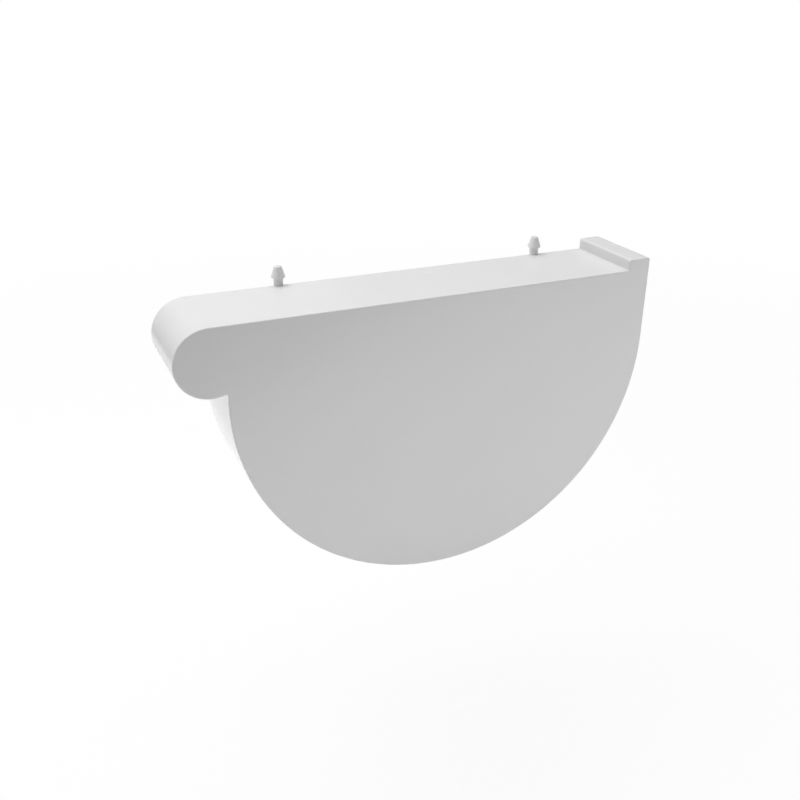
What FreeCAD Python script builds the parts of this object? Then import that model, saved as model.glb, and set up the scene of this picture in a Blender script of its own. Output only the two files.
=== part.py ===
"""Slip-on end cap for a half-round roof gutter, moulded in one piece of rigid plastic.

The cap closes the gutter's end. Its plate stands across the gutter, and a skirt runs back
from the plate's whole outline and wraps the gutter: the rolled bead at the front, the half
round below, and the raised edge at the back, which goes into a hollow lip. A flat strip
bridges the open top, and two barbed pegs stand on the strip's rear edge.

Frame: the origin is on the half round's axis, in the plate's inner face, where the gutter's
end stops. +X points to the gutter's back edge, +Y into the gutter, and +Z up. Millimetres.
"""

import FreeCAD, Part

import math
import os

from FreeCAD import Vector

# The gutter that the cap fits, by its outer faces
gutter_radius = 62.5          # half round of the nominal 125 mm size
bead_radius = 7.25            # rolled bead along the front edge, tangent to the half round
bead_top = 19.0               # height of the bead's top over the half round's axis
rear_edge_rise = 3.3          # how far the gutter's back edge stands over the bead's top
rear_edge_thickness = 2.3     # thickness of the gutter's back edge

# The moulding
fit_clearance = 0.3           # free space between gutter and cap, all round
wall = 2.2                    # thickness of plate and skirt
socket_depth = 24.0           # how far the gutter goes into the cap
notch_round = 0.6             # rounding outside, where the bead's wrap meets the half round
foot_round = 0.2              # rounding outside, where the lip stands on the strip
plate_edge_round = 0.4        # rounding round the plate's outer face
floor_round = 0.5             # rounding inside, where the skirt meets the plate
lead_in = 0.5                 # chamfer inside the mouth, to start the gutter
outer_corner_ratio = 2.0      # rounding of the lip's corners over that of the plate's edge
inner_corner_ratio = 1.5      # the same inside, over the floor's rounding or the chamfer

# The barbed pegs
front_peg_inset = 26.4        # front peg's axis, back from the bead's centre
rear_peg_inset = 17.0         # rear peg's axis, forward from the lip
peg_shaft_radius = 1.35
peg_neck_length = 2.3         # shaft between the strip and the barb
peg_barb_overhang = 0.65      # barb's rim beyond the shaft
peg_barb_land = 0.25          # upright band round the barb's rim
peg_cone_length = 2.95        # from the band to the tip
peg_tip_radius = 1.0
peg_tip_round = 0.3

# What follows from the sizes above
outer_growth = fit_clearance + wall
outer_corner = outer_corner_ratio * plate_edge_round
inner_corner = inner_corner_ratio * max(floor_round, lead_in)
gutter_neck_radius = notch_round + outer_growth
strip_top = bead_top + outer_growth
bead_height = bead_top - bead_radius
bead_distance = gutter_radius + bead_radius
bead_place = -math.sqrt(bead_distance ** 2 - bead_height ** 2)
lip_side_place = gutter_radius - rear_edge_thickness - outer_growth
peg_places = (bead_place + front_peg_inset, lip_side_place - rear_peg_inset)

left, right = Vector(-1, 0, 0), Vector(1, 0, 0)
up, down = Vector(0, 0, 1), Vector(0, 0, -1)
half_round_centre = Vector(0, 0, 0)
bead_centre = Vector(bead_place, 0, bead_height)


def from_centre(centre, radius, direction):
    """Point at a distance `radius` from `centre`, on the side that `direction` points to."""
    return centre + Vector(direction).normalize() * radius


def line(start, end):
    """Straight edge between two points."""
    return Part.LineSegment(start, end).toShape()


def arc(start, middle, end):
    """Circular edge through three points."""
    return Part.Arc(start, middle, end).toShape()


def rounded_corner(corner, toward_start, toward_end, radius):
    """Start, end and arc that round a square corner between two given directions."""
    start = corner + toward_start * radius
    end = corner + toward_end * radius
    centre = start + toward_end * radius
    return start, end, arc(start, from_centre(centre, radius, corner - centre), end)


def neck_centre():
    """Centre of the hollow below the bead, which touches both the bead and the half round."""
    to_half_round = gutter_radius + gutter_neck_radius
    to_bead = bead_radius + gutter_neck_radius
    along = (to_half_round ** 2 - to_bead ** 2 + bead_distance ** 2) / (2 * bead_distance)
    below = math.sqrt(to_half_round ** 2 - along ** 2)
    bead_way = Vector(bead_centre).normalize()
    below_way = Vector(-bead_way.z, 0, bead_way.x)
    return bead_way * along + below_way * below


def gutter_outline(growth, corner, foot):
    """Closed outline of the gutter's section, grown outward by `growth`.

    Bead, half round and the hollow between them stay concentric as the outline grows, so
    two such outlines leave an even wall between them. The two corners of the raised back
    edge are rounded by `corner`, and the one at its foot by `foot`.
    """
    neck = neck_centre()
    half_round = gutter_radius + growth
    bead = bead_radius + growth
    ceiling = bead_top + growth
    lip_side = gutter_radius - rear_edge_thickness - growth
    lip_top = ceiling + rear_edge_rise

    bead_start = from_centre(bead_centre, bead, up)
    bead_side = from_centre(bead_centre, bead, left)
    bead_end = from_centre(bead_centre, bead, neck - bead_centre)
    round_start = from_centre(half_round_centre, half_round, neck)
    round_bottom = from_centre(half_round_centre, half_round, down)
    round_end = from_centre(half_round_centre, half_round, right)
    neck_way = (bead_end - neck) + (round_start - neck)
    neck_middle = from_centre(neck, gutter_neck_radius - growth, neck_way)

    back_corner = Vector(half_round, 0, lip_top)
    front_corner = Vector(lip_side, 0, lip_top)
    foot_corner = Vector(lip_side, 0, ceiling)
    back_start, back_end, back_arc = rounded_corner(back_corner, down, left, corner)
    front_start, front_end, front_arc = rounded_corner(front_corner, right, down, corner)
    foot_start, foot_end, foot_arc = rounded_corner(foot_corner, up, left, foot)

    return Part.Wire([
        arc(bead_start, bead_side, bead_end),
        arc(bead_end, neck_middle, round_start),
        arc(round_start, round_bottom, round_end),
        line(round_end, back_start),
        back_arc,
        line(back_end, front_start),
        front_arc,
        line(front_end, foot_start),
        foot_arc,
        line(foot_end, bead_start),
    ])


def prism(outline, start, end):
    """Solid between the planes y = start and y = end, with the given outline."""
    face = Part.Face(outline)
    face.translate(Vector(0, start, 0))
    return face.extrude(Vector(0, end - start, 0))


def flat_face(solid, depth):
    """The largest face of a solid that lies flat in the plane y = depth."""
    faces = [face for face in solid.Faces if abs(face.CenterOfMass.y - depth) < 1e-6]
    return max(faces, key=lambda face: face.Area)


def outer_block():
    """The cap's outer form, rounded round the plate's face."""
    block = prism(gutter_outline(outer_growth, outer_corner, foot_round), -wall, socket_depth)
    return block.makeFillet(plate_edge_round, flat_face(block, -wall).Edges)


def socket_space():
    """The space that the gutter's end goes into, rounded at its floor."""
    space = prism(gutter_outline(fit_clearance, inner_corner, inner_corner), 0, socket_depth)
    return space.makeFillet(floor_round, flat_face(space, 0).Edges)


def shell():
    """Plate, skirt, strip and lip: a tray with an even wall and a lead-in at its mouth."""
    tray = outer_block().cut(socket_space())
    rim = flat_face(tray, socket_depth)
    mouth = min(rim.Wires, key=lambda wire: wire.Length)
    return tray.makeChamfer(lead_in, mouth.Edges)


def peg(place):
    """One barbed peg, round about an upright axis in the plane of the skirt's rear rim."""
    barb_radius = peg_shaft_radius + peg_barb_overhang
    root = -wall
    barb_bottom = peg_neck_length
    barb_top = barb_bottom + peg_barb_land
    tip_height = barb_top + peg_cone_length

    corners = [
        Vector(0, 0, root),
        Vector(peg_shaft_radius, 0, root),
        Vector(peg_shaft_radius, 0, barb_bottom),
        Vector(barb_radius, 0, barb_bottom),
        Vector(barb_radius, 0, barb_top),
        Vector(peg_tip_radius, 0, tip_height),
        Vector(0, 0, tip_height),
        Vector(0, 0, root),
    ]
    section = Part.Face(Part.makePolygon(corners))
    solid = section.revolve(Vector(0, 0, 0), up, 360)
    tip_edges = [edge for edge in solid.Edges if is_tip_edge(edge, tip_height)]
    solid = solid.makeFillet(peg_tip_round, tip_edges)
    solid.translate(Vector(place, socket_depth, strip_top))
    return solid


def is_tip_edge(edge, tip_height):
    """Whether an edge is the circle round the peg's flat tip."""
    on_tip = all(abs(vertex.Z - tip_height) < 1e-6 for vertex in edge.Vertexes)
    return on_tip and isinstance(edge.Curve, Part.Circle)


def end_cap():
    """The whole moulding: the shell with its pegs, as one solid."""
    moulding = shell().fuse([peg(place) for place in peg_places])
    return moulding.removeSplitter().Solids[0]


def main():
    """Build the cap and write its STEP file."""
    os.makedirs("parts", exist_ok=True)
    cap = end_cap()
    box = cap.optimalBoundingBox()
    print("valid:", cap.isValid(), "faces:", len(cap.Faces))
    print("volume %.1f mm3, area %.1f mm2" % (cap.Volume, cap.Area))
    print("size %.2f x %.2f x %.2f mm" % (box.XLength, box.YLength, box.ZLength))
    cap.exportStep("parts/end_cap.step")


main()
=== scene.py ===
"""Looks of a slip-on end cap for a half-round roof gutter, moulded in pale rigid plastic.

The cap is one moulding, so it is one mesh. Its outline follows the gutter's section, and
one section of wall, from the plate's outer edge over the rim of the skirt to the plate's
inner face, is carried round that outline by a Geometry Nodes tree. Turned pegs, the gate's
mark and the marks of the ejector pins are set on it by the same tree.

Classes and trees hold their sizes in millimetres, and the finished mesh is in metres.
"""

import logging
import math
from dataclasses import dataclass, field, fields
from enum import Enum
from typing import ClassVar

import bmesh
import bpy
from mathutils import Matrix, Vector


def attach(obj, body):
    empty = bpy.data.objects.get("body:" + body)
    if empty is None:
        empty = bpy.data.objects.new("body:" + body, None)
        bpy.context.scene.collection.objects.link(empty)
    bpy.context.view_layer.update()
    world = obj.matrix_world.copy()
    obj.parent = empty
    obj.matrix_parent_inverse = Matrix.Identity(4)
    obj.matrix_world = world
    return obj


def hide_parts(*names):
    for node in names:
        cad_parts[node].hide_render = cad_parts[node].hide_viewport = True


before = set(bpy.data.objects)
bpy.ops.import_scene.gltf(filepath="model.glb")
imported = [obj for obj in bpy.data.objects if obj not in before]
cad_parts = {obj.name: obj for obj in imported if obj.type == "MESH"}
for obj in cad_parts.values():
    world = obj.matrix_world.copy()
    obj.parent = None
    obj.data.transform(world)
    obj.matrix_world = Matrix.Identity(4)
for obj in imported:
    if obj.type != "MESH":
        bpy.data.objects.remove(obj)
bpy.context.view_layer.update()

log = logging.getLogger("end_cap")

METRES = 0.001            # metres in a millimetre
MERGE_GAP = 0.0005        # millimetres between two points that are one
SHARP_ANGLE = math.radians(34.0)    # edges that turn more than this stay sharp
AREA_WEIGHT = 90          # how much more large faces settle the normals, of 100
CORE_SIDE = "core_side"   # marks the faces that the mould's core shapes

GRAIN_SIZE = 0.16         # size of the skin's grain, over that of its waves
GRAIN_TONE = 0.4          # change of tone by the grain, over that by the patches
PATCH_GLOSS = 1.4         # share of the patches in the change of roughness
GRAIN_GLOSS = 0.6         # share of the grain in it
LOWEST_ROUGHNESS = 0.05

Socket = bpy.types.NodeSocket
Path = list[tuple[object, object, object]]
Point = tuple[float, float, float]


class Corner(Enum):
    """Which way the outline turns at a place."""

    NONE = 0
    OUTWARD = 1
    INWARD = -1


class Lamp(Enum):
    """The lamps of the studio, by what they do."""

    OVERHEAD = "overhead_softbox"
    STRIP = "strip_softbox"
    LEFT = "left_fill"
    TABLE_BACK = "table_back_glow"
    TABLE_FRONT = "table_front_glow"


def way(degrees: float) -> Vector:
    """Return the unit vector across the gutter at an angle from +X towards +Z."""
    angle = math.radians(degrees)
    return Vector((math.cos(angle), 0.0, math.sin(angle)))


def angle_of(vector: Vector) -> float:
    """Return the angle in degrees of a vector across the gutter, from +X towards +Z."""
    return math.degrees(math.atan2(vector.z, vector.x)) % 360.0


def named_sizes(part: object, prefix: str = "") -> dict[str, float]:
    """Return the sizes of a part, under the names that its trees give them.

    Args:
        part: The part, a dataclass with its sizes in millimetres.
        prefix: What every name starts with.

    Returns:
        Each size by its name in the trees.
    """
    values = {item.name: getattr(part, item.name) for item in fields(part)}
    return {prefix + name.replace("_", " ").title(): value
            for name, value in values.items() if isinstance(value, float)}


def in_scene(name: str, data: bpy.types.ID) -> bpy.types.Object:
    """Make an object of a mesh, lamp or camera and link it to the scene.

    Args:
        name: Name of the object.
        data: The mesh, lamp or camera.

    Returns:
        The object.
    """
    made = bpy.data.objects.new(name, data)
    bpy.context.scene.collection.objects.link(made)
    return made


def flat_sheet(name: str, corners: tuple[Point, ...],
               material: bpy.types.Material) -> bpy.types.Object:
    """Make an object of one flat face, with its corners in metres.

    Args:
        name: Name of the object.
        corners: The corners, in order round the face.
        material: What it is made of.

    Returns:
        The object.
    """
    mesh = bpy.data.meshes.new(name)
    mesh.from_pydata(corners, [], [list(range(len(corners)))])
    mesh.materials.append(material)
    return in_scene(name, mesh)


class Tree:
    """Writes nodes into a tree: each call places one node, sets it and links it."""

    COLUMN = 190.0
    ROW = 240.0
    ROWS = 6

    def __init__(self, tree: bpy.types.NodeTree) -> None:
        """Keep the tree that the nodes go into."""
        self.tree = tree

    def node(self, kind: str, inputs: dict | None = None, **settings: object) -> bpy.types.Node:
        """Place one node.

        Args:
            kind: Blender's name for the node's type.
            inputs: Socket to link from, or value, by the name or number of the input.
            settings: Properties of the node, set before its inputs.

        Returns:
            The new node.
        """
        node = self.tree.nodes.new(kind)
        count = len(self.tree.nodes)
        node.location = (self.COLUMN * (count // self.ROWS), -self.ROW * (count % self.ROWS))
        for name, value in settings.items():
            setattr(node, name, value)
        for name, value in (inputs or {}).items():
            self.feed(self.pick(node.inputs, name), value)
        return node

    @staticmethod
    def pick(sockets: bpy.types.bpy_prop_collection, name: int | str) -> Socket:
        """Return the socket with that number, or the first one in use with that name.

        Args:
            sockets: The inputs or outputs of a node.
            name: Number or name of the one wanted.

        Returns:
            The socket.
        """
        if isinstance(name, int):
            return sockets[name]
        return next(socket for socket in sockets if socket.name == name and socket.enabled)

    def feed(self, socket: Socket, value: object) -> None:
        """Link a socket into another, or set its value.

        Args:
            socket: The input to fill.
            value: The output to link to it, or a plain value.
        """
        if isinstance(value, Socket):
            self.tree.links.new(value, socket)
        else:
            socket.default_value = value

    def out(self, kind: str, inputs: dict | None = None, output: int | str = 0,
            **settings: object) -> Socket:
        """Place one node and return one of its outputs.

        Args:
            kind: Blender's name for the node's type.
            inputs: Socket to link from, or value, by the name or number of the input.
            output: Name or number of the output wanted.
            settings: Properties of the node.

        Returns:
            The output socket.
        """
        node = self.node(kind, inputs, **settings)
        return self.pick(node.outputs, output)

    def math(self, operation: str, first: object, second: object = 0.0) -> Socket:
        """Return the result of one operation on two numbers."""
        return self.out("ShaderNodeMath", {0: first, 1: second}, operation=operation)

    def whole(self, operation: str, first: object, second: object) -> Socket:
        """Return the result of one operation on two whole numbers."""
        return self.out("FunctionNodeIntegerMath", {0: first, 1: second}, operation=operation)

    def add(self, first: object, second: object) -> Socket:
        """Return the sum of two numbers."""
        return self.math("ADD", first, second)

    def less(self, first: object, second: object) -> Socket:
        """Return the first number less the second."""
        return self.math("SUBTRACT", first, second)

    def times(self, first: object, second: object) -> Socket:
        """Return the product of two numbers."""
        return self.math("MULTIPLY", first, second)

    def vector(self, x: object = 0.0, y: object = 0.0, z: object = 0.0) -> Socket:
        """Return a vector of three numbers."""
        return self.out("ShaderNodeCombineXYZ", {0: x, 1: y, 2: z})

    def scaled(self, vector: object, scale: object) -> Socket:
        """Return a vector times a number."""
        return self.out("ShaderNodeVectorMath", {"Vector": vector, "Scale": scale},
                        operation="SCALE")

    def vector_sum(self, first: object, second: object) -> Socket:
        """Return the sum of two vectors."""
        return self.out("ShaderNodeVectorMath", {0: first, 1: second}, operation="ADD")

    def mixed(self, share: Socket, low: Socket, high: Socket) -> Socket:
        """Return the low value where the share is 0 and the high one where it is 1."""
        return self.add(low, self.times(share, self.less(high, low)))

    def tinted(self, colour: Point, tone: Socket) -> Socket:
        """Return a colour, as linear red, green and blue, times a tone.

        Args:
            colour: Linear red, green and blue.
            tone: What each is multiplied by.

        Returns:
            The tinted colour.
        """
        inputs = {"Factor": 1.0, "A": (*colour, 1.0), "B": tone}
        return self.out("ShaderNodeMix", inputs, output="Result", data_type="RGBA",
                        blend_type="MULTIPLY")

    def background_rays(self, path: bpy.types.Node) -> Socket:
        """Return 1 for the rays of a Light Path node that show a background, and else 0."""
        seen = self.math("MAXIMUM", path.outputs["Is Camera Ray"], path.outputs["Is Glossy Ray"])
        return self.math("MAXIMUM", seen, path.outputs["Is Transmission Ray"])


class ShapeTree(Tree):
    """A Geometry Nodes tree with named inputs, and the steps that this object's trees share."""

    def __init__(self, name: str, sizes: dict[str, float], modifier: bool = False) -> None:
        """Make the tree with its sockets.

        Args:
            name: Name of the node group.
            sizes: Value of each named size.
            modifier: Whether the tree is the one that a modifier runs.
        """
        super().__init__(bpy.data.node_groups.new(name, "GeometryNodeTree"))
        self.tree.is_modifier = modifier
        self.socket("Geometry", "NodeSocketGeometry", "OUTPUT")
        self.socket("Geometry", "NodeSocketGeometry", "INPUT")
        for size, value in sizes.items():
            self.socket(size, "NodeSocketFloat", "INPUT", value)
        self.entry = self.tree.nodes.new("NodeGroupInput")
        self.exit = self.tree.nodes.new("NodeGroupOutput")

    def socket(self, name: str, kind: str, direction: str, value: object = None) -> None:
        """Add a named socket to the tree's interface, with its value.

        Args:
            name: Name of the socket.
            kind: Blender's name for its type.
            direction: INPUT or OUTPUT.
            value: Its value, if it has one.
        """
        made = self.tree.interface.new_socket(name, in_out=direction, socket_type=kind)
        if value is not None:
            made.default_value = value

    def given(self, name: str) -> Socket:
        """Return one of the tree's own inputs."""
        return self.entry.outputs[name]

    def finish(self, geometry: Socket) -> bpy.types.NodeTree:
        """End the tree with that geometry and return it."""
        self.tree.links.new(geometry, self.exit.inputs[0])
        return self.tree

    def index(self) -> Socket:
        """Return the number of the point that is worked on."""
        return self.out("GeometryNodeInputIndex")

    def sample(self, geometry: Socket, value: Socket, index: object,
               kind: str = "FLOAT_VECTOR") -> Socket:
        """Return a value at one point of some other geometry.

        Args:
            geometry: The other geometry.
            value: What is read there.
            index: Number of the point.
            kind: Type of the value.

        Returns:
            The value read.
        """
        inputs = {"Geometry": geometry, "Value": value, "Index": index}
        return self.out("GeometryNodeSampleIndex", inputs, data_type=kind, domain="POINT",
                        clamp=True)

    def attribute(self, name: str, kind: str = "FLOAT_VECTOR") -> Socket:
        """Return a named attribute."""
        return self.out("GeometryNodeInputNamedAttribute", {"Name": name}, data_type=kind)

    def marked(self, geometry: Socket, name: str, value: object) -> Socket:
        """Return a geometry with a yes or no on each face, kept under that name.

        Args:
            geometry: The geometry.
            name: Name of the mark.
            value: Yes or no, for all faces or for each.

        Returns:
            The marked geometry.
        """
        inputs = {"Geometry": geometry, "Name": name, "Value": value}
        return self.out("GeometryNodeStoreNamedAttribute", inputs, data_type="BOOLEAN",
                        domain="FACE")

    def moved(self, geometry: Socket, position: Socket) -> Socket:
        """Return a geometry with its points set to new positions."""
        return self.out("GeometryNodeSetPosition", {"Geometry": geometry, "Position": position})

    def placed(self, geometry: Socket, translation: object = (0.0, 0.0, 0.0),
               rotation: object = (0.0, 0.0, 0.0), scale: object = (1.0, 1.0, 1.0)) -> Socket:
        """Return a geometry moved, turned and scaled.

        Args:
            geometry: The geometry.
            translation: How far it moves.
            rotation: How far it turns, in radians.
            scale: How much it grows.

        Returns:
            The geometry in its place.
        """
        inputs = {"Geometry": geometry, "Translation": translation, "Rotation": rotation,
                  "Scale": scale}
        return self.out("GeometryNodeTransform", inputs)

    def joined(self, *parts: Socket) -> Socket:
        """Return several geometries as one, with points that meet made one.

        Args:
            parts: The geometries.

        Returns:
            The joined geometry.
        """
        join = self.node("GeometryNodeJoinGeometry")
        for part in parts:
            self.tree.links.new(part, join.inputs[0])
        inputs = {"Geometry": join.outputs[0], "Distance": MERGE_GAP}
        return self.out("GeometryNodeMergeByDistance", inputs)

    def combined(self, operation: str, body: Socket, *others: Socket) -> Socket:
        """Return a body with others united to it, or taken out of it.

        Args:
            operation: UNION or DIFFERENCE.
            body: The body.
            others: What is united to it or taken out of it.

        Returns:
            The new body.
        """
        made = self.node("GeometryNodeMeshBoolean", operation=operation, solver="EXACT")
        if operation == "DIFFERENCE":
            self.tree.links.new(body, made.inputs["Mesh 1"])
        else:
            others = (body, *others)
        for other in others:
            self.tree.links.new(other, made.inputs["Mesh 2"])
        return made.outputs["Mesh"]

    def rounded_path(self, corners: Path, steps: int) -> Socket:
        """Make a path of straight runs with rounded corners, in the X and Y of its points.

        Args:
            corners: X, Y and rounding of each corner, as numbers or sockets.
            steps: Number of points in each rounding.

        Returns:
            The path, as a curve.
        """
        run = self.out("GeometryNodeMeshLine", {"Count": len(corners)})
        curve = self.out("GeometryNodeMeshToCurve", {"Mesh": run})
        places = [self.vector(x, y) for x, y, _ in corners]
        curve = self.moved(curve, self.chosen("VECTOR", places))
        radius = self.chosen("FLOAT", [rounding for _, _, rounding in corners])
        fillet = self.node("GeometryNodeFilletCurve", mode="POLY")
        self.feed(self.pick(fillet.inputs, "Count"), steps)
        self.feed(self.pick(fillet.inputs, "Curve"), curve)
        self.feed(self.pick(fillet.inputs, "Radius"), radius)
        self.feed(self.pick(fillet.inputs, "Limit Radius"), True)
        return fillet.outputs["Curve"]

    def chosen(self, kind: str, values: list) -> Socket:
        """Return the value whose number is the point's.

        Args:
            kind: Type of the values.
            values: One value for each point.

        Returns:
            The point's value.
        """
        switch = self.node("GeometryNodeIndexSwitch", {"Index": self.index()}, data_type=kind)
        while len(switch.index_switch_items) < len(values):
            switch.index_switch_items.new()
        for number, value in enumerate(values):
            self.feed(switch.inputs[number + 1], value)
        return switch.outputs[0]

    def lattice(self, columns: Socket, rows: Socket) -> tuple[Socket, Socket, Socket]:
        """Make a sheet of quads that closes on itself along its columns.

        Args:
            columns: Number of different columns.
            rows: Number of points in each column.

        Returns:
            The sheet, and the number of each point's column and row.
        """
        inputs = {"Vertices X": self.whole("ADD", columns, 1), "Vertices Y": rows}
        sheet = self.out("GeometryNodeMeshGrid", inputs)
        column = self.whole("DIVIDE_FLOOR", self.index(), rows)
        column = self.whole("MODULO", column, columns)
        row = self.whole("MODULO", self.index(), rows)
        return sheet, column, row

    def points_in(self, geometry: Socket, component: str) -> Socket:
        """Return the number of points in a mesh or a curve."""
        return self.out("GeometryNodeAttributeDomainSize", {"Geometry": geometry},
                        component=component)

    def called(self, group: bpy.types.NodeTree, inputs: dict) -> Socket:
        """Place a node group with its inputs and return its geometry.

        Args:
            group: The node group.
            inputs: Its inputs by their names.

        Returns:
            The group's geometry.
        """
        made = self.node("GeometryNodeGroup", node_tree=group)
        for name, value in inputs.items():
            self.feed(made.inputs[name], value)
        return made.outputs[0]


def turned_tree() -> bpy.types.NodeTree:
    """Make the group that turns a path about the upright axis.

    Returns:
        A group whose geometry is a path, with the distance from the axis in its X and the
        height in its Y, and whose result is the closed turned mesh.
    """
    tree = ShapeTree("turned_form", {})
    tree.socket("Segments", "NodeSocketInt", "INPUT")
    path = tree.given("Geometry")
    segments = tree.given("Segments")
    sheet, column, row = tree.lattice(segments, tree.points_in(path, "CURVE"))
    place = tree.sample(path, tree.out("GeometryNodeInputPosition"), row)
    parts = tree.node("ShaderNodeSeparateXYZ", {0: place})
    angle = tree.times(tree.math("DIVIDE", column, segments), 2.0 * math.pi)
    x = tree.times(parts.outputs[0], tree.math("COSINE", angle))
    y = tree.times(parts.outputs[0], tree.math("SINE", angle))
    turned = tree.moved(sheet, tree.vector(x, y, parts.outputs[1]))
    return tree.finish(tree.joined(turned))


@dataclass(frozen=True)
class Station:
    """One place of the gutter's outline, and how it moves as the outline changes.

    Attributes:
        place: The place on the gutter's own outline.
        growth_way: How far it moves for each millimetre that the outline grows.
        corner_way: How far it moves for each millimetre that its corner is rounded.
        corner: Which way the outline turns there.
    """

    place: Vector
    growth_way: Vector
    corner_way: Vector = field(default_factory=Vector)
    corner: Corner = Corner.NONE


@dataclass(frozen=True)
class GutterSection:
    """The section of the gutter that the cap fits, by its outer faces.

    Attributes:
        radius: Radius of the half round.
        bead_radius: Radius of the rolled bead, tangent to the half round.
        bead_top: Height of the bead's top over the half round's axis.
        back_edge_rise: Height of the back edge over the bead's top.
        back_edge_thickness: Thickness of the back edge.
        neck_radius: Radius of the hollow between bead and half round.
        round_step: Degrees between two stations on the half round.
        bead_step: Degrees between two stations on the bead.
        corner_steps: Number of steps round a square corner.
        neck_steps: Number of steps round the hollow.
        strip_steps: Number of steps along the strip.
        side_steps: Number of steps up the straight side.
    """

    radius: float = 62.5
    bead_radius: float = 7.25
    bead_top: float = 19.0
    back_edge_rise: float = 3.3
    back_edge_thickness: float = 2.3
    neck_radius: float = 3.1
    round_step: float = 1.25
    bead_step: float = 3.0
    corner_steps: int = 6
    neck_steps: int = 14
    strip_steps: int = 24
    side_steps: int = 5

    def bead_centre(self) -> Vector:
        """Return the centre of the rolled bead.

        Returns:
            The centre, at depth 0.
        """
        height = self.bead_top - self.bead_radius
        distance = self.radius + self.bead_radius
        return Vector((-math.sqrt(distance ** 2 - height ** 2), 0.0, height))

    def neck_centre(self) -> Vector:
        """Return the centre of the hollow that touches both the bead and the half round.

        Returns:
            The centre, at depth 0.
        """
        bead = self.bead_centre()
        to_round = self.radius + self.neck_radius
        to_bead = self.bead_radius + self.neck_radius
        distance = bead.length
        along = (to_round ** 2 - to_bead ** 2 + distance ** 2) / (2.0 * distance)
        below = math.sqrt(to_round ** 2 - along ** 2)
        ahead = bead.normalized()
        return ahead * along + Vector((-ahead.z, 0.0, ahead.x)) * below

    @staticmethod
    def arc(centre: Vector, radius: float, start: float, end: float, steps: int,
            hollow: bool = False) -> list[Station]:
        """Return the stations of an arc, both ends among them.

        Args:
            centre: Centre of the arc.
            radius: Its radius on the gutter's own outline.
            start: Angle of its first station, in degrees.
            end: Angle of its last station, in degrees.
            steps: Number of steps between the two.
            hollow: Whether the material is outside the arc, so that growth closes it.

        Returns:
            The stations in order.
        """
        side = -1.0 if hollow else 1.0
        ways = [way(start + (end - start) * step / steps) for step in range(steps + 1)]
        return [Station(centre + out * radius, out * side) for out in ways]

    def square_corner(self, place: Vector, first: float, second: float,
                      corner: Corner) -> list[Station]:
        """Return the stations of a square corner.

        Args:
            place: The unrounded corner on the gutter's own outline.
            first: Angle of the outward normal before the corner, in degrees.
            second: Angle of the outward normal after the corner, in degrees.
            corner: Which way the outline turns.

        Returns:
            The stations in order.
        """
        both = way(first) + way(second)
        steps = self.corner_steps
        ways = [way(first + (second - first) * step / steps) for step in range(steps + 1)]
        return [Station(place, both, (out - both) * corner.value, corner) for out in ways]

    @staticmethod
    def run(start: Vector, end: Vector, normal: Vector, steps: int) -> list[Station]:
        """Return the stations inside a straight run, without its ends."""
        shares = [step / steps for step in range(1, steps)]
        return [Station(start.lerp(end, share), normal) for share in shares]

    def stations(self) -> list[Station]:
        """Return the whole outline, from the bead's top over its front and round below.

        Returns:
            The stations in order.
        """
        bead, neck = self.bead_centre(), self.neck_centre()
        bead_end = angle_of(neck - bead)
        round_start = angle_of(neck)
        lip_side = self.radius - self.back_edge_thickness
        lip_top = self.bead_top + self.back_edge_rise
        side_foot = Vector((self.radius, 0.0, 0.0))
        back = Vector((self.radius, 0.0, lip_top))
        front = Vector((lip_side, 0.0, lip_top))
        foot = Vector((lip_side, 0.0, self.bead_top))
        strip_end = Vector((bead.x, 0.0, self.bead_top))
        bead_steps = round((bead_end - 90.0) / self.bead_step)
        round_steps = round((360.0 - round_start) / self.round_step)
        neck_end = round_start - 180.0
        return [
            *self.arc(bead, self.bead_radius, 90.0, bead_end, bead_steps),
            *self.arc(neck, self.neck_radius, bead_end - 180.0, neck_end, self.neck_steps,
                      hollow=True)[1:-1],
            *self.arc(Vector(), self.radius, round_start, 360.0, round_steps),
            *self.run(side_foot, back, way(0.0), self.side_steps),
            *self.square_corner(back, 0.0, 90.0, Corner.OUTWARD),
            *self.square_corner(front, 90.0, 180.0, Corner.OUTWARD),
            *self.square_corner(foot, 180.0, 90.0, Corner.INWARD),
            *self.run(foot, strip_end, way(90.0), self.strip_steps),
        ]

    def mesh(self) -> bpy.types.Mesh:
        """Return the outline as one flat face that carries how its points move.

        Returns:
            The mesh, in millimetres.
        """
        stations = self.stations()
        mesh = bpy.data.meshes.new("gutter_outline")
        mesh.from_pydata([s.place for s in stations], [], [list(range(len(stations)))])
        values = {
            "growth_way": ("FLOAT_VECTOR", "vector", [s.growth_way for s in stations]),
            "corner_way": ("FLOAT_VECTOR", "vector", [s.corner_way for s in stations]),
            "corner": ("FLOAT", "value", [float(s.corner.value) for s in stations]),
        }
        for name, (kind, item, rows) in values.items():
            attribute = mesh.attributes.new(name, kind, "POINT")
            for entry, row in zip(attribute.data, rows):
                setattr(entry, item, row)
        return mesh


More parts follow.
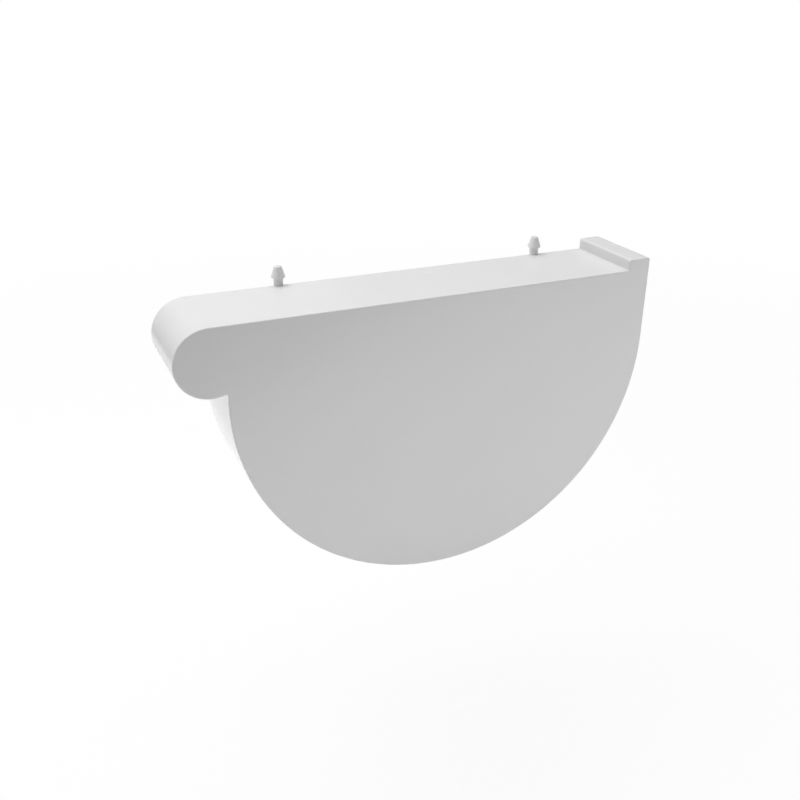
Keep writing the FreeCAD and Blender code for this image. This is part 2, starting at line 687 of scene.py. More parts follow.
@dataclass(frozen=True)
class Shell:
    """Plate, skirt, strip and lip: one section of wall carried round the gutter's outline.

    Attributes:
        fit_clearance: Free space between gutter and cap, all round.
        wall: Thickness of plate and skirt.
        socket_depth: How far the gutter goes into the cap.
        plate_edge_round: Rounding round the plate's outer face.
        floor_round: Rounding inside, where the skirt meets the plate.
        foot_round: Rounding outside, where the lip stands on the strip.
        lead_in: Chamfer inside the mouth.
        outer_corner_ratio: Rounding of the lip's corners over that of the plate's edge.
        inner_corner_ratio: The same inside, over the floor's rounding or the chamfer.
        rim_round: Softening of the rim's edges.
        edge_steps: Number of points in each rounding of the section.
    """

    fit_clearance: float = 0.3
    wall: float = 2.2
    socket_depth: float = 24.0
    plate_edge_round: float = 0.4
    floor_round: float = 0.5
    foot_round: float = 0.2
    lead_in: float = 0.5
    outer_corner_ratio: float = 2.0
    inner_corner_ratio: float = 1.5
    rim_round: float = 0.12
    edge_steps: int = 6

    def growth(self) -> float:
        """Return how far the cap's outside stands off the gutter."""
        return self.fit_clearance + self.wall

    def tree(self) -> bpy.types.NodeTree:
        """Make the group that carries the wall's section round the outline.

        Returns:
            A group whose geometry is the gutter's outline and whose result is the shell.
        """
        tree = ShapeTree("swept_shell", named_sizes(self))
        outline = tree.given("Geometry")
        clearance, wall = tree.given("Fit Clearance"), tree.given("Wall")
        depth, lead_in = tree.given("Socket Depth"), tree.given("Lead In")
        edge, floor = tree.given("Plate Edge Round"), tree.given("Floor Round")
        foot, rim = tree.given("Foot Round"), tree.given("Rim Round")

        outer = tree.add(clearance, wall)
        face = tree.times(wall, -1.0)
        outer_corner = tree.times(tree.given("Outer Corner Ratio"), edge)
        inner_corner = tree.times(tree.given("Inner Corner Ratio"),
                                  tree.math("MAXIMUM", floor, lead_in))
        face_margin = tree.times(tree.add(edge, outer_corner), 0.5)
        floor_margin = tree.times(tree.add(floor, inner_corner), 0.5)
        mouth = tree.add(clearance, lead_in)
        section = tree.rounded_path([
            (tree.less(outer, face_margin), face, 0.0),
            (outer, face, edge),
            (outer, depth, rim),
            (mouth, depth, rim),
            (clearance, tree.less(depth, lead_in), rim),
            (clearance, 0.0, floor),
            (tree.less(clearance, floor_margin), 0.0, 0.0),
        ], self.edge_steps)
        rim_middle = tree.times(tree.add(outer, mouth), 0.5)

        def position(station: Socket, row: object) -> Socket:
            """Return where the section's point at a row lies at a station of the outline.

            Args:
                station: Number of the station.
                row: Number of the section's point.

            Returns:
                The position.
            """
            point = tree.sample(section, tree.out("GeometryNodeInputPosition"), row)
            parts = tree.node("ShaderNodeSeparateXYZ", {0: point})
            growth, level = parts.outputs[0], parts.outputs[1]
            outside = tree.math("GREATER_THAN", growth, rim_middle)
            side = tree.sample(outline, tree.attribute("corner", "FLOAT"), station, "FLOAT")
            at_foot = tree.math("LESS_THAN", side, 0.0)
            outer_rounding = tree.mixed(at_foot, outer_corner, foot)
            corner = tree.mixed(outside, inner_corner, outer_rounding)
            start = tree.mixed(outside, clearance, outer)
            rounding = tree.add(corner, tree.times(side, tree.less(growth, start)))
            place = tree.sample(outline, tree.out("GeometryNodeInputPosition"), station)
            grown = tree.scaled(
                tree.sample(outline, tree.attribute("growth_way"), station), growth)
            rounded = tree.scaled(
                tree.sample(outline, tree.attribute("corner_way"), station), rounding)
            moved = tree.vector_sum(tree.vector_sum(place, grown), rounded)
            return tree.vector_sum(moved, tree.vector(0.0, level, 0.0))

        rows = tree.points_in(section, "CURVE")
        sheet, column, row = tree.lattice(tree.points_in(outline, "MESH"), rows)
        skirt = tree.out("GeometryNodeFlipFaces",
                         {"Mesh": tree.moved(sheet, position(column, row))})
        band = tree.whole("MODULO", tree.index(), tree.whole("SUBTRACT", rows, 1))
        start = tree.sample(section, tree.out("GeometryNodeInputPosition"), band)
        start = tree.node("ShaderNodeSeparateXYZ", {0: start}).outputs[0]
        within = tree.out("FunctionNodeCompare", {0: start, 1: rim_middle},
                          data_type="FLOAT", operation="LESS_THAN")
        skirt = tree.marked(skirt, CORE_SIDE, within)
        plate = tree.moved(outline, position(tree.index(), 0))
        last = tree.whole("SUBTRACT", rows, 1)
        inner = tree.moved(outline, position(tree.index(), last))
        inner = tree.out("GeometryNodeFlipFaces", {"Mesh": inner})
        inner = tree.marked(inner, CORE_SIDE, True)
        return tree.finish(tree.joined(skirt, plate, inner))


@dataclass(frozen=True)
class BarbedPeg:
    """One of the two pegs that stand on the strip's rear edge.

    Attributes:
        shaft_radius: Radius of the shaft.
        root: Depth of the shaft under the strip's top.
        neck_length: Length of shaft between the strip and the barb.
        barb_overhang: How far the barb's rim stands beyond the shaft.
        barb_land: Height of the upright band round the barb's rim.
        cone_length: Height from the band to the tip.
        tip_radius: Radius of the flat tip.
        tip_round: Rounding of the tip.
        edge_round: Softening of the peg's other edges.
        edge_steps: Number of points in each rounding.
        segments: Number of segments round the peg.
    """

    shaft_radius: float = 1.35
    root: float = 2.2
    neck_length: float = 2.3
    barb_overhang: float = 0.65
    barb_land: float = 0.25
    cone_length: float = 2.95
    tip_radius: float = 1.0
    tip_round: float = 0.3
    edge_round: float = 0.08
    edge_steps: int = 4
    segments: int = 40

    def form(self, tree: ShapeTree, turned: bpy.types.NodeTree) -> Socket:
        """Return the peg, turned about the upright axis with the strip's top at height 0.

        Args:
            tree: The tree that it is made in.
            turned: The group that turns a path.

        Returns:
            The peg, closed at its foot and tip.
        """
        shaft, neck = tree.given("Peg Shaft Radius"), tree.given("Peg Neck Length")
        root = tree.times(tree.given("Peg Root"), -1.0)
        rim = tree.add(shaft, tree.given("Peg Barb Overhang"))
        band = tree.add(neck, tree.given("Peg Barb Land"))
        top = tree.add(band, tree.given("Peg Cone Length"))
        tip, edge = tree.given("Peg Tip Radius"), tree.given("Peg Edge Round")
        path = tree.rounded_path([
            (0.0, root, 0.0),
            (shaft, root, edge),
            (shaft, neck, edge),
            (rim, neck, edge),
            (rim, band, edge),
            (tip, top, tree.given("Peg Tip Round")),
            (0.0, top, 0.0),
        ], self.edge_steps)
        return tree.called(turned, {"Geometry": path, "Segments": self.segments})


@dataclass(frozen=True)
class MouldMarks:
    """The marks that the mould leaves: the gate's on the strip, the ejector pins' inside.

    Attributes:
        gate_place: Distance of the gate from the half round's axis.
        gate_depth: Its distance from the plate's inner face.
        dish_radius: Radius of the shallow dish round the gate.
        dish_floor: Radius of the dish's flat floor.
        dish_depth: Depth of the dish.
        dish_bend: Rounding between the dish's floor and its wall.
        dish_steps: Number of points in that rounding.
        cutter_radius: Radius of the top of the tool that hollows the dish.
        cutter_height: Height of that top over the strip.
        nib_radius: Radius of the nib that the gate leaves.
        nib_height: Height of the nib over the dish's edge.
        nib_root: Depth of the nib's foot under the strip's top.
        nib_round: Rounding of the nib's top.
        nib_steps: Number of points in that rounding.
        pin_radius: Radius of an ejector pin's mark.
        pin_height: How far a mark stands off the plate's inner face.
        pin_root: Depth of a mark's foot under that face.
        pin_round: Rounding of a mark's edge.
        pin_steps: Number of points in that rounding.
        pin_circle: Distance of the marks from the half round's axis.
        pin_count: Number of marks on that circle.
        pin_start: Angle of the first mark, in degrees.
        pin_sweep: Angle from the first mark to the last, in degrees.
        segments: Number of segments round the dish and the pins' marks.
        nib_segments: Number of segments round the nib.
    """

    gate_place: float = 1.3
    gate_depth: float = 18.4
    dish_radius: float = 2.6
    dish_floor: float = 1.04
    dish_depth: float = 0.19
    dish_bend: float = 0.91
    dish_steps: int = 8
    cutter_radius: float = 3.38
    cutter_height: float = 0.095
    nib_radius: float = 0.52
    nib_height: float = 0.02
    nib_root: float = 0.57
    nib_round: float = 0.468
    nib_steps: int = 6
    pin_radius: float = 3.0
    pin_height: float = 0.06
    pin_root: float = 0.24
    pin_round: float = 0.048
    pin_steps: int = 3
    pin_circle: float = 50.0
    pin_count: int = 5
    pin_start: float = 195.0
    pin_sweep: float = 150.0
    segments: int = 48
    nib_segments: int = 24

    def dish(self, tree: ShapeTree, turned: bpy.types.NodeTree) -> Socket:
        """Return the tool that hollows the dish, with the strip's top at height 0.

        Args:
            tree: The tree that it is made in.
            turned: The group that turns a path.

        Returns:
            The tool, as a closed body.
        """
        floor = tree.times(tree.given("Dish Depth"), -1.0)
        top = tree.given("Cutter Height")
        path = tree.rounded_path([
            (0.0, floor, 0.0),
            (tree.given("Dish Floor"), floor, tree.given("Dish Bend")),
            (tree.given("Dish Radius"), 0.0, 0.0),
            (tree.given("Cutter Radius"), top, 0.0),
            (0.0, top, 0.0),
        ], self.dish_steps)
        return tree.called(turned, {"Geometry": path, "Segments": self.segments})

    @staticmethod
    def stud(tree: ShapeTree, turned: bpy.types.NodeTree, name: str, steps: int,
             segments: int) -> Socket:
        """Make a low round stud that stands up from a surface at height 0.

        Args:
            tree: The tree that the stud is made in.
            turned: The group that turns a path.
            name: First word of the names of its sizes.
            steps: Number of points in the rounding of its edge.
            segments: Number of segments round it.

        Returns:
            The stud, with its foot under the surface.
        """
        root = tree.times(tree.given(name + " Root"), -1.0)
        radius, height = tree.given(name + " Radius"), tree.given(name + " Height")
        path = tree.rounded_path([
            (0.0, root, 0.0),
            (radius, root, 0.0),
            (radius, height, tree.given(name + " Round")),
            (0.0, height, 0.0),
        ], steps)
        return tree.called(turned, {"Geometry": path, "Segments": segments})

    def nib(self, tree: ShapeTree, turned: bpy.types.NodeTree) -> Socket:
        """Return the gate's nib, with the strip's top at height 0."""
        return self.stud(tree, turned, "Nib", self.nib_steps, self.nib_segments)

    def pins(self, tree: ShapeTree, turned: bpy.types.NodeTree) -> Socket:
        """Return the marks of all the ejector pins, on the plate's inner face.

        Args:
            tree: The tree that it is made in.
            turned: The group that turns a path.

        Returns:
            The marks, as closed bodies.
        """
        inputs = {"Resolution": self.pin_count, "Radius": tree.given("Pin Circle"),
                  "Start Angle": tree.math("RADIANS", tree.given("Pin Start")),
                  "Sweep Angle": tree.math("RADIANS", tree.given("Pin Sweep"))}
        circle = tree.out("GeometryNodeCurveArc", inputs, mode="RADIUS")
        upright = tree.placed(circle, rotation=(math.radians(90.0), 0.0, 0.0))
        pin = self.stud(tree, turned, "Pin", self.pin_steps, self.segments)
        inputs = {"Points": upright, "Instance": pin,
                  "Rotation": (math.radians(-90.0), 0.0, 0.0)}
        marks = tree.out("GeometryNodeInstanceOnPoints", inputs)
        marks = tree.out("GeometryNodeRealizeInstances", {"Geometry": marks})
        return tree.marked(marks, CORE_SIDE, True)


@dataclass(frozen=True)
class PlasticFinish:
    """Pale rigid plastic as it leaves the mould.

    Attributes:
        name: Name of the material.
        colour: Its colour, as linear red, green and blue.
        gloss: Roughness of the smooth skin.
        gloss_change: How much the roughness wanders over the surface.
        tone_change: How much the colour wanders over the surface.
        mottle: Size of the soft patches, in millimetres.
        peel: Size of the fine waves of the skin, in millimetres.
        peel_height: Height of those waves, in millimetres.
        grain_height: Height of the fine grain of the mould's wall, in millimetres.
        index: Index of refraction.
    """

    name: str
    colour: Point
    gloss: float
    gloss_change: float = 0.05
    tone_change: float = 0.02
    mottle: float = 22.0
    peel: float = 1.6
    peel_height: float = 0.0012
    grain_height: float = 0.0004
    index: float = 1.53

    def build(self, skin: bpy.types.NodeTree) -> bpy.types.Material:
        """Make the material.

        Args:
            skin: The group that gives tone, roughness and height of a moulded skin.

        Returns:
            The material.
        """
        material = bpy.data.materials.new(self.name)
        material.use_nodes = True
        tree = Tree(material.node_tree)
        shader = material.node_tree.nodes["Principled BSDF"]
        effect = tree.node("ShaderNodeGroup", node_tree=skin)
        values = {
            "Mottle": self.mottle, "Tone Change": self.tone_change, "Gloss": self.gloss,
            "Gloss Change": self.gloss_change, "Peel": self.peel,
            "Peel Height": self.peel_height, "Grain Height": self.grain_height,
        }
        for name, value in values.items():
            effect.inputs[name].default_value = value
        colour = tree.tinted(self.colour, effect.outputs["Tone"])
        tree.feed(shader.inputs["Base Color"], colour)
        tree.feed(shader.inputs["Roughness"], effect.outputs["Roughness"])
        bump = tree.node("ShaderNodeBump", {"Strength": 1.0, "Distance": METRES,
                                            "Height": effect.outputs["Height"]})
        tree.feed(shader.inputs["Normal"], bump.outputs["Normal"])
        shader.inputs["IOR"].default_value = self.index
        return material


@dataclass(frozen=True)
class FloorFinish:
    """Plain pale floor, which the camera sees near white with the object's shadow on it.

    Attributes:
        name: Name of the material.
        colour: Its colour, as linear red, green and blue.
        lift: Share of plain white that the camera and mirrored rays see on it.
        near: Distance from the object's middle up to which the shadow shows, in metres.
        far: Distance from which the floor is plain white, in metres.
        white: Strength of that white.
        grain: Size of its fine grain, in metres.
        grain_detail: Number of finer grains in it.
        grain_dark: Tone of its darkest grains, over that of the lightest.
        roughness: Roughness of the paper.
        sheen: Strength of what it mirrors, from 0 to 1.
    """

    name: str = "floor_paper"
    colour: Point = (0.92, 0.92, 0.92)
    lift: float = 0.85
    near: float = 0.3
    far: float = 1.0
    white: float = 1.022
    grain: float = 0.004
    grain_detail: float = 3.0
    grain_dark: float = 0.97
    roughness: float = 0.9
    sheen: float = 0.1

    def build(self) -> bpy.types.Material:
        """Make the material, which the camera looks through from below.

        Returns:
            The material.
        """
        material = bpy.data.materials.new(self.name)
        material.use_nodes = True
        tree = Tree(material.node_tree)
        nodes = material.node_tree.nodes
        shader, result = nodes["Principled BSDF"], nodes["Material Output"]
        coords = tree.out("ShaderNodeTexCoord", output="Object")
        inputs = {"Vector": coords, "Scale": 1.0 / self.grain, "Detail": self.grain_detail}
        grain = tree.out("ShaderNodeTexNoise", inputs, output="Fac")
        inputs = {"Value": grain, "To Min": self.grain_dark, "To Max": 1.0}
        tone = tree.out("ShaderNodeMapRange", inputs, output="Result")
        tree.feed(shader.inputs["Base Color"], tree.tinted(self.colour, tone))
        shader.inputs["Roughness"].default_value = self.roughness
        shader.inputs["Specular IOR Level"].default_value = self.sheen

        path = tree.node("ShaderNodeLightPath")
        seen = tree.background_rays(path)
        distance = tree.out("ShaderNodeVectorMath", {0: coords}, output="Value",
                            operation="LENGTH")
        inputs = {"Value": distance, "From Min": self.near, "From Max": self.far,
                  "To Min": self.lift, "To Max": 1.0}
        lift = tree.out("ShaderNodeMapRange", inputs, output="Result",
                        interpolation_type="SMOOTHSTEP")
        white = tree.out("ShaderNodeEmission", {"Color": (1.0, 1.0, 1.0, 1.0),
                                                "Strength": self.white})
        shown = tree.out("ShaderNodeMixShader", {0: tree.times(seen, lift),
                                                 1: shader.outputs[0], 2: white})
        below = tree.math("MULTIPLY", tree.out("ShaderNodeNewGeometry", output="Backfacing"),
                          path.outputs["Is Camera Ray"])
        clear = tree.out("ShaderNodeBsdfTransparent")
        shown = tree.out("ShaderNodeMixShader", {0: below, 1: shown, 2: clear})
        tree.feed(result.inputs["Surface"], shown)
        return material


def moulded_skin() -> bpy.types.NodeTree:
    """Make the shader group for the skin of a moulding, which its materials share.

    Returns:
        A group that puts out a tone, a roughness and a height in millimetres, from object
        coordinates: soft patches where the melt cooled, fine waves and finer grain.
    """
    group = bpy.data.node_groups.new("moulded_skin", "ShaderNodeTree")
    names = ("Mottle", "Tone Change", "Gloss", "Gloss Change", "Peel", "Peel Height",
             "Grain Height")
    for name in names:
        group.interface.new_socket(name, in_out="INPUT", socket_type="NodeSocketFloat")
    for name in ("Tone", "Roughness", "Height"):
        group.interface.new_socket(name, in_out="OUTPUT", socket_type="NodeSocketFloat")
    tree = Tree(group)
    given = group.nodes.new("NodeGroupInput").outputs
    result = group.nodes.new("NodeGroupOutput").inputs
    place = tree.out("ShaderNodeTexCoord", output="Object")
    millimetres = tree.scaled(place, 1.0 / METRES)

    def noise(size: object, detail: float, roughness: float = 0.5) -> Socket:
        """Return noise about 0, from -0.5 to 0.5, with features of a size in millimetres.

        Args:
            size: Size of the features.
            detail: Number of finer layers.
            roughness: Strength of each layer over the one before.

        Returns:
            The noise.
        """
        inputs = {"Vector": millimetres, "Scale": tree.math("DIVIDE", 1.0, size),
                  "Detail": detail, "Roughness": roughness}
        return tree.less(tree.out("ShaderNodeTexNoise", inputs, output="Fac"), 0.5)

    patches = noise(given["Mottle"], 3.0)
    waves = noise(given["Peel"], 2.0)
    grain = noise(tree.times(given["Peel"], GRAIN_SIZE), 3.0, 0.6)
    tone = tree.add(1.0, tree.times(patches, given["Tone Change"]))
    grain_tone = tree.times(grain, tree.times(given["Tone Change"], GRAIN_TONE))
    tree.feed(result["Tone"], tree.add(tone, grain_tone))
    wander = tree.add(tree.times(patches, PATCH_GLOSS), tree.times(grain, GRAIN_GLOSS))
    roughness = tree.add(given["Gloss"], tree.times(wander, given["Gloss Change"]))
    tree.feed(result["Roughness"], tree.math("MAXIMUM", roughness, LOWEST_ROUGHNESS))
    wave_height = tree.times(waves, given["Peel Height"])
    grain_height = tree.times(grain, given["Grain Height"])
    tree.feed(result["Height"], tree.add(wave_height, grain_height))
    return group


@dataclass
class Moulding:
    """The whole end cap, one moulding: shell, pegs and the mould's marks.

    Attributes:
        gutter: Section of the gutter that the cap fits.
        shell: Plate, skirt, strip and lip.
        peg: Both pegs.
        marks: The marks of gate and ejector pins.
        front_peg_inset: Front peg's axis, back from the bead's centre.
        rear_peg_inset: Rear peg's axis, forward from the lip.
        outside: Finish of the polished outside.
        inside: Finish of the plainer inside.
    """

    gutter: GutterSection = field(default_factory=GutterSection)
    shell: Shell = field(default_factory=Shell)
    peg: BarbedPeg = field(default_factory=BarbedPeg)
    marks: MouldMarks = field(default_factory=MouldMarks)
    front_peg_inset: float = 26.4
    rear_peg_inset: float = 17.0
    outside: PlasticFinish = PlasticFinish("white_gloss_plastic", (0.80, 0.80, 0.80), 0.22)
    inside: PlasticFinish = PlasticFinish("white_core_side_plastic", (0.80, 0.80, 0.80), 0.34,
                                          grain_height=0.0012)

    def strip_top(self) -> float:
        """Return the height of the strip's top over the half round's axis."""
        return self.gutter.bead_top + self.shell.growth()

    def peg_places(self) -> tuple[float, float]:
        """Return the two pegs' distances from the half round's axis."""
        lip = self.gutter.radius - self.gutter.back_edge_thickness - self.shell.growth()
        return self.gutter.bead_centre().x + self.front_peg_inset, lip - self.rear_peg_inset

    def sizes(self) -> dict[str, float]:
        """Return the named sizes that the whole tree takes.

        Returns:
            Each size by its name in the tree.
        """
        front, rear = self.peg_places()
        return {
            **named_sizes(self.shell),
            **named_sizes(self.peg, "Peg "),
            **named_sizes(self.marks),
            "Front Peg Place": front,
            "Peg Spacing": rear - front,
            "Strip Top": self.strip_top(),
        }

    def tree(self) -> bpy.types.NodeTree:
        """Make the tree that turns the gutter's outline into the whole moulding.

        Returns:
            The tree, whose inputs are the sizes and the two materials.
        """
        tree = ShapeTree("end_cap_moulding", self.sizes(), modifier=True)
        tree.socket("Outside", "NodeSocketMaterial", "INPUT")
        tree.socket("Inside", "NodeSocketMaterial", "INPUT")
        turned = turned_tree()
        inputs = {name: tree.given(name) for name in named_sizes(self.shell)}
        inputs["Geometry"] = tree.given("Geometry")
        shell = tree.called(self.shell.tree(), inputs)

        depth, top = tree.given("Socket Depth"), tree.given("Strip Top")
        inputs = {"Count": 2,
                  "Start Location": tree.vector(tree.given("Front Peg Place"), depth, top),
                  "Offset": tree.vector(tree.given("Peg Spacing"))}
        places = tree.out("GeometryNodeMeshLine", inputs)
        inputs = {"Points": places, "Instance": self.peg.form(tree, turned)}
        pegs = tree.out("GeometryNodeInstanceOnPoints", inputs)
        pegs = tree.out("GeometryNodeRealizeInstances", {"Geometry": pegs})
        body = tree.combined("UNION", shell, pegs, self.marks.pins(tree, turned))

        gate = tree.vector(tree.given("Gate Place"), tree.given("Gate Depth"), top)
        dish = tree.placed(self.marks.dish(tree, turned), gate)
        nib = tree.placed(self.marks.nib(tree, turned), gate)
        body = tree.combined("DIFFERENCE", body, dish)
        body = tree.combined("UNION", body, nib)

        body = tree.placed(body, scale=(METRES, METRES, METRES))
        body = tree.out("GeometryNodeRealizeInstances", {"Geometry": body})
        body = tree.out("GeometryNodeSetMaterial", {"Geometry": body,
                                                    "Material": tree.given("Outside")})
        body = tree.out("GeometryNodeSetMaterial", {
            "Geometry": body, "Selection": tree.attribute(CORE_SIDE, "BOOLEAN"),
            "Material": tree.given("Inside")})
        return tree.finish(body)

    def build(self) -> bpy.types.Object:
        """Make the moulding's mesh.

        Returns:
            The object, with a plain mesh and its materials.
        """
        skin = moulded_skin()
        outline = in_scene("gutter_outline", self.gutter.mesh())
        tree = self.tree()
        modifier = outline.modifiers.new("moulding", "NODES")
        modifier.node_group = tree
        values = {**self.sizes(), "Outside": self.outside.build(skin),
                  "Inside": self.inside.build(skin)}
        for item in tree.interface.items_tree:
            if item.in_out == "INPUT" and item.name in values:
                modifier[item.identifier] = values[item.name]
        evaluated = outline.evaluated_get(bpy.context.evaluated_depsgraph_get())
        mesh = bpy.data.meshes.new_from_object(evaluated)
        outline.modifiers.remove(modifier)
        bpy.data.objects.remove(outline)
        mesh.name = "end_cap_moulding"
        cap = in_scene("end_cap_moulding", mesh)
        self.smooth(mesh)
        return cap

    @staticmethod
    def smooth(mesh: bpy.types.Mesh) -> None:
        """Shade the mesh smooth, with its sharp edges kept, and drop its scratch values.

        Args:
            mesh: The moulding's mesh, in metres.
        """
        form = bmesh.new()
        form.from_mesh(mesh)
        bmesh.ops.remove_doubles(form, verts=form.verts, dist=MERGE_GAP * METRES)
        bmesh.ops.dissolve_degenerate(form, edges=form.edges, dist=MERGE_GAP * METRES)
        for face in form.faces:
            face.smooth = True
        for edge in form.edges:
            edge.smooth = len(edge.link_faces) == 2 and edge.calc_face_angle() < SHARP_ANGLE
        form.to_mesh(mesh)
        form.free()
        for name in ("growth_way", "corner_way", "corner", CORE_SIDE):
            if name in mesh.attributes:
                mesh.attributes.remove(mesh.attributes[name])

    def dress(self, cap: bpy.types.Object) -> None:
        """Give the moulding even normals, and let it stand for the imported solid.

        Args:
            cap: The moulding.
        """
        weighted = cap.modifiers.new("even_normals", "WEIGHTED_NORMAL")
        weighted.keep_sharp = True
        weighted.weight = AREA_WEIGHT
        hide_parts("end_cap")
        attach(cap, "root")


@dataclass(frozen=True)
class LampSetting:
    """One soft lamp.

    Attributes:
        lamp: Which lamp it is.
        place: Where it stands, in metres.
        aim: Where it points, in metres.
        size: Its width and height, in metres.
        power: Its power, in watts.
    """

    lamp: Lamp
    place: Point
    aim: Point
    size: tuple[float, float]
    power: float

    def build(self) -> bpy.types.Object:
        """Make the lamp.

        Returns:
            The lamp, which the camera doesn't see.
        """
        light = bpy.data.lights.new(self.lamp.value, "AREA")
        light.shape = "RECTANGLE"
        light.size, light.size_y = self.size
        light.energy = self.power
        made = in_scene(self.lamp.value, light)
        made.visible_camera = False
        aim = Vector(self.aim) - Vector(self.place)
        made.matrix_world = (Matrix.Translation(self.place)
                             @ aim.to_track_quat("-Z", "Y").to_matrix().to_4x4())
        return made


@dataclass(frozen=True)
class CameraSetting:
    """The camera, at the photograph's viewing angle.

    Attributes:
        azimuth: Its way round the object in degrees, 0 looking along +Y.
        elevation: Its angle over the horizon, in degrees.
        roll: Its turn about its own axis, in degrees.
        distance: Its distance from the target, in millimetres.
        target: The point in the picture's middle, in millimetres.
        lens: Its focal length, in millimetres.
        sensor: Width of its sensor, in millimetres.
        nearest: Distance from which it sees things, in metres.
    """

    azimuth: float = -24.5297
    elevation: float = 24.7878
    roll: float = 0.7355
    distance: float = 266.845
    target: Point = (-16.4974, -2.2, -7.4368)
    lens: float = 42.880
    sensor: float = 36.0
    nearest: float = 0.01

    def build(self) -> bpy.types.Object:
        """Make the camera and give it to the scene.

        Returns:
            The camera.
        """
        around, over = math.radians(self.azimuth), math.radians(self.elevation)
        back = Vector((math.sin(around) * math.cos(over), -math.cos(around) * math.cos(over),
                       math.sin(over)))
        right = Vector((math.cos(around), math.sin(around), 0.0))
        turn = Matrix.Rotation(math.radians(-self.roll), 3, back)
        right = turn.inverted() @ right
        above = back.cross(right)
        data = bpy.data.cameras.new("camera")
        data.sensor_width = self.sensor
        data.lens = self.lens
        data.clip_start = self.nearest
        camera = in_scene("camera", data)
        turned = Matrix((right, above, back)).transposed().to_4x4()
        place = (Vector(self.target) + back * self.distance) * METRES
        camera.matrix_world = Matrix.Translation(place) @ turned
        bpy.context.scene.camera = camera
        return camera


@dataclass(frozen=True)
class Card:
    """A grey or dark card, out of the camera's sight, whose tone the plastic mirrors.

    Attributes:
        name: Name of the card.
        corners: Its corners, in metres.
        shade: Its grey, as a linear value.
        mirrored_only: Whether only mirrored rays meet it, so that it takes no light away.
    """

    BACK: ClassVar[float] = 1.1       # depth at which the upright cards stand, in metres
    FOOT: ClassVar[float] = -0.12     # height of their lower edge
    HEAD: ClassVar[float] = 0.9       # height of their upper edge
    LEFT: ClassVar[float] = -1.1      # left side of the lying cards
    RIGHT: ClassVar[float] = 0.1      # right side of the lying cards

    name: str
    corners: tuple[Point, ...]
    shade: float = 0.03
    mirrored_only: bool = True

    @classmethod
    def upright(cls, name: str, left: float, right: float, shade: float) -> "Card":
        """Return a card that stands behind the object, between two sides."""
        return cls(name, ((left, cls.BACK, cls.FOOT), (right, cls.BACK, cls.FOOT),
                          (right, cls.BACK, cls.HEAD), (left, cls.BACK, cls.HEAD)), shade)

    @classmethod
    def lying(cls, name: str, front: float, back: float, level: float, shade: float) -> "Card":
        """Return a card that lies behind the object, from front to back at a height."""
        return cls(name, ((cls.LEFT, front, level), (cls.RIGHT, front, level),
                          (cls.RIGHT, back, level), (cls.LEFT, back, level)), shade)

    def cloth(self) -> bpy.types.Material:
        """Make the card's material, a dull and even grey.

        Returns:
            The material.
        """
        material = bpy.data.materials.new(self.name + "_cloth")
        material.use_nodes = True
        shader = material.node_tree.nodes["Principled BSDF"]
        shader.inputs["Base Color"].default_value = (self.shade, self.shade, self.shade, 1.0)
        shader.inputs["Roughness"].default_value = 1.0
        return material

    def build(self) -> bpy.types.Object:
        """Make the card.

        Returns:
            The card.
        """
        card = flat_sheet(self.name, self.corners, self.cloth())
        card.visible_camera = False
        card.visible_diffuse = not self.mirrored_only
        card.visible_shadow = not self.mirrored_only
        return card


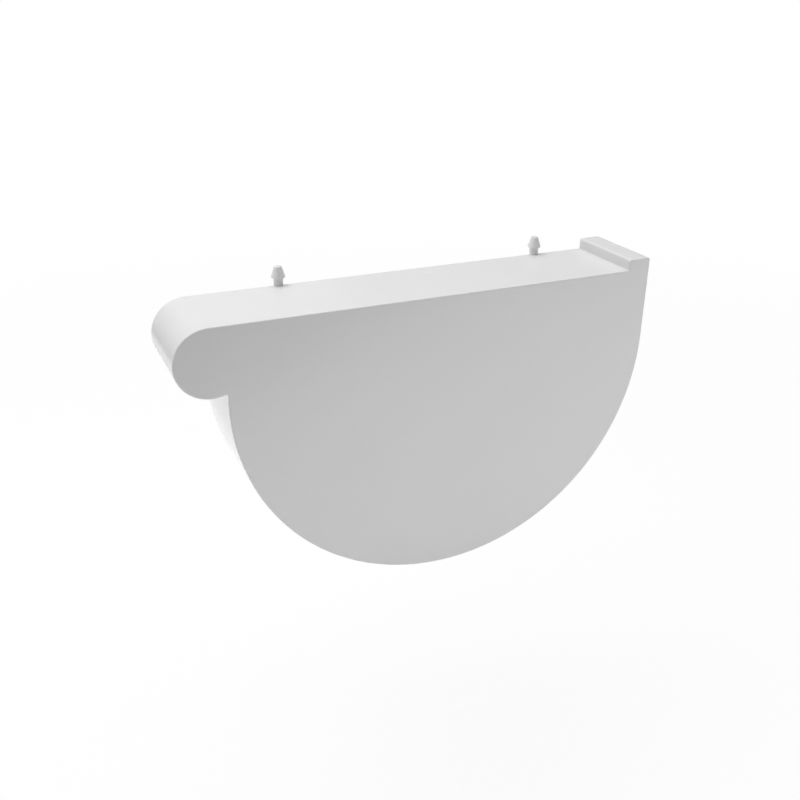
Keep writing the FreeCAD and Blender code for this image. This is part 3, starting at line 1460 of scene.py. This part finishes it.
@dataclass
class Studio:
    """Floor, lamps, surroundings and camera.

    Attributes:
        floor_level: Height of the floor, in metres.
        floor_half: Half the floor's side, in metres.
        surround: Strength of the surroundings' light on the object.
        cards: A dark card low ahead, two that stand and two that lie behind the object,
            and a dark one behind the camera.
        floor: Finish of the floor.
        camera: The camera.
        lamps: The lamps.
    """

    floor_level: float = -0.125
    floor_half: float = 3.0
    surround: float = 0.15
    cards: tuple[Card, ...] = (
        Card("low_flag", ((-0.9, 0.21, -0.124), (-0.05, -0.235, -0.124),
                          (0.9, -0.947, -0.124), (0.9, -2.4, -0.124),
                          (-2.4, -2.4, -0.124), (-2.4, 0.21, -0.124))),
        Card.upright("back_flag", 0.39, 2.2, shade=0.75),
        Card.upright("back_card", -0.9, 0.39, shade=0.95),
        Card.lying("table_card", 0.44, 1.1, level=-0.1235, shade=0.5),
        Card.lying("near_card", 0.27, 0.44, level=-0.124, shade=0.8),
        Card("camera_flag", ((-0.172, -0.228, 0.061), (-0.081, -0.269, 0.062),
                             (-0.069, -0.241, 0.130), (-0.160, -0.200, 0.129)),
             mirrored_only=False),
    )
    floor: FloorFinish = field(default_factory=FloorFinish)
    camera: CameraSetting = field(default_factory=CameraSetting)
    lamps: tuple[LampSetting, ...] = (
        LampSetting(Lamp.OVERHEAD, (0.0, 0.4, 1.3), (0.0, 0.35, 0.0), (2.4, 2.0), 22.6),
        LampSetting(Lamp.STRIP, (-0.19, 0.11, 0.38), (-0.05, 0.01, 0.02), (0.27, 0.27), 0.5),
        LampSetting(Lamp.LEFT, (-0.42, 0.08, -0.04), (-0.08, 0.01, 0.0), (0.1, 0.12), 0.15),
        LampSetting(Lamp.TABLE_BACK, (-0.18, 0.24, -0.12), (-0.18, 0.235, 0.5),
                    (0.56, 0.34), 0.165),
        LampSetting(Lamp.TABLE_FRONT, (0.18, -0.27, -0.1245), (0.18, -0.269, 0.5),
                    (0.54, 0.38), 0.541),
    )

    def build_floor(self) -> bpy.types.Object:
        """Make the floor, as a plain sheet under the object.

        Returns:
            The floor.
        """
        half, level = self.floor_half, self.floor_level
        corners = ((-half, -half, level), (half, -half, level), (half, half, level),
                   (-half, half, level))
        floor = flat_sheet("floor", corners, self.floor.build())
        return floor

    def build_surround(self) -> bpy.types.World:
        """Make the surroundings: white where they are seen, softer as light.

        Returns:
            The surroundings.
        """
        world = bpy.data.worlds.new("surround")
        world.use_nodes = True
        tree = Tree(world.node_tree)
        path = tree.node("ShaderNodeLightPath")
        seen = tree.background_rays(path)
        strength = tree.add(self.surround, tree.times(seen, 1.0 - self.surround))
        background = world.node_tree.nodes["Background"]
        background.inputs["Color"].default_value = (1.0, 1.0, 1.0, 1.0)
        tree.feed(background.inputs["Strength"], strength)
        bpy.context.scene.world = world
        return world

    def build(self) -> None:
        """Make the whole studio."""
        view = bpy.context.scene.view_settings
        view.view_transform = "Standard"
        self.build_surround()
        self.build_floor()
        for card in self.cards:
            card.build()
        for lamp in self.lamps:
            lamp.build()
            log.info("lamp %s, %.1f W", lamp.lamp.value, lamp.power)
        self.camera.build()
        log.info("floor at %.3f m, camera at %.1f, %.1f degrees", self.floor_level,
                 self.camera.azimuth, self.camera.elevation)


def main() -> None:
    """Build the moulding and the studio, and report each piece."""
    logging.basicConfig(level=logging.INFO, format="%(name)s: %(message)s")
    moulding = Moulding()
    cap = moulding.build()
    moulding.dress(cap)
    log.info("%s: %d points, %d faces", cap.name, len(cap.data.vertices),
             len(cap.data.polygons))
    Studio().build()


if __name__ == "__main__":
    main()
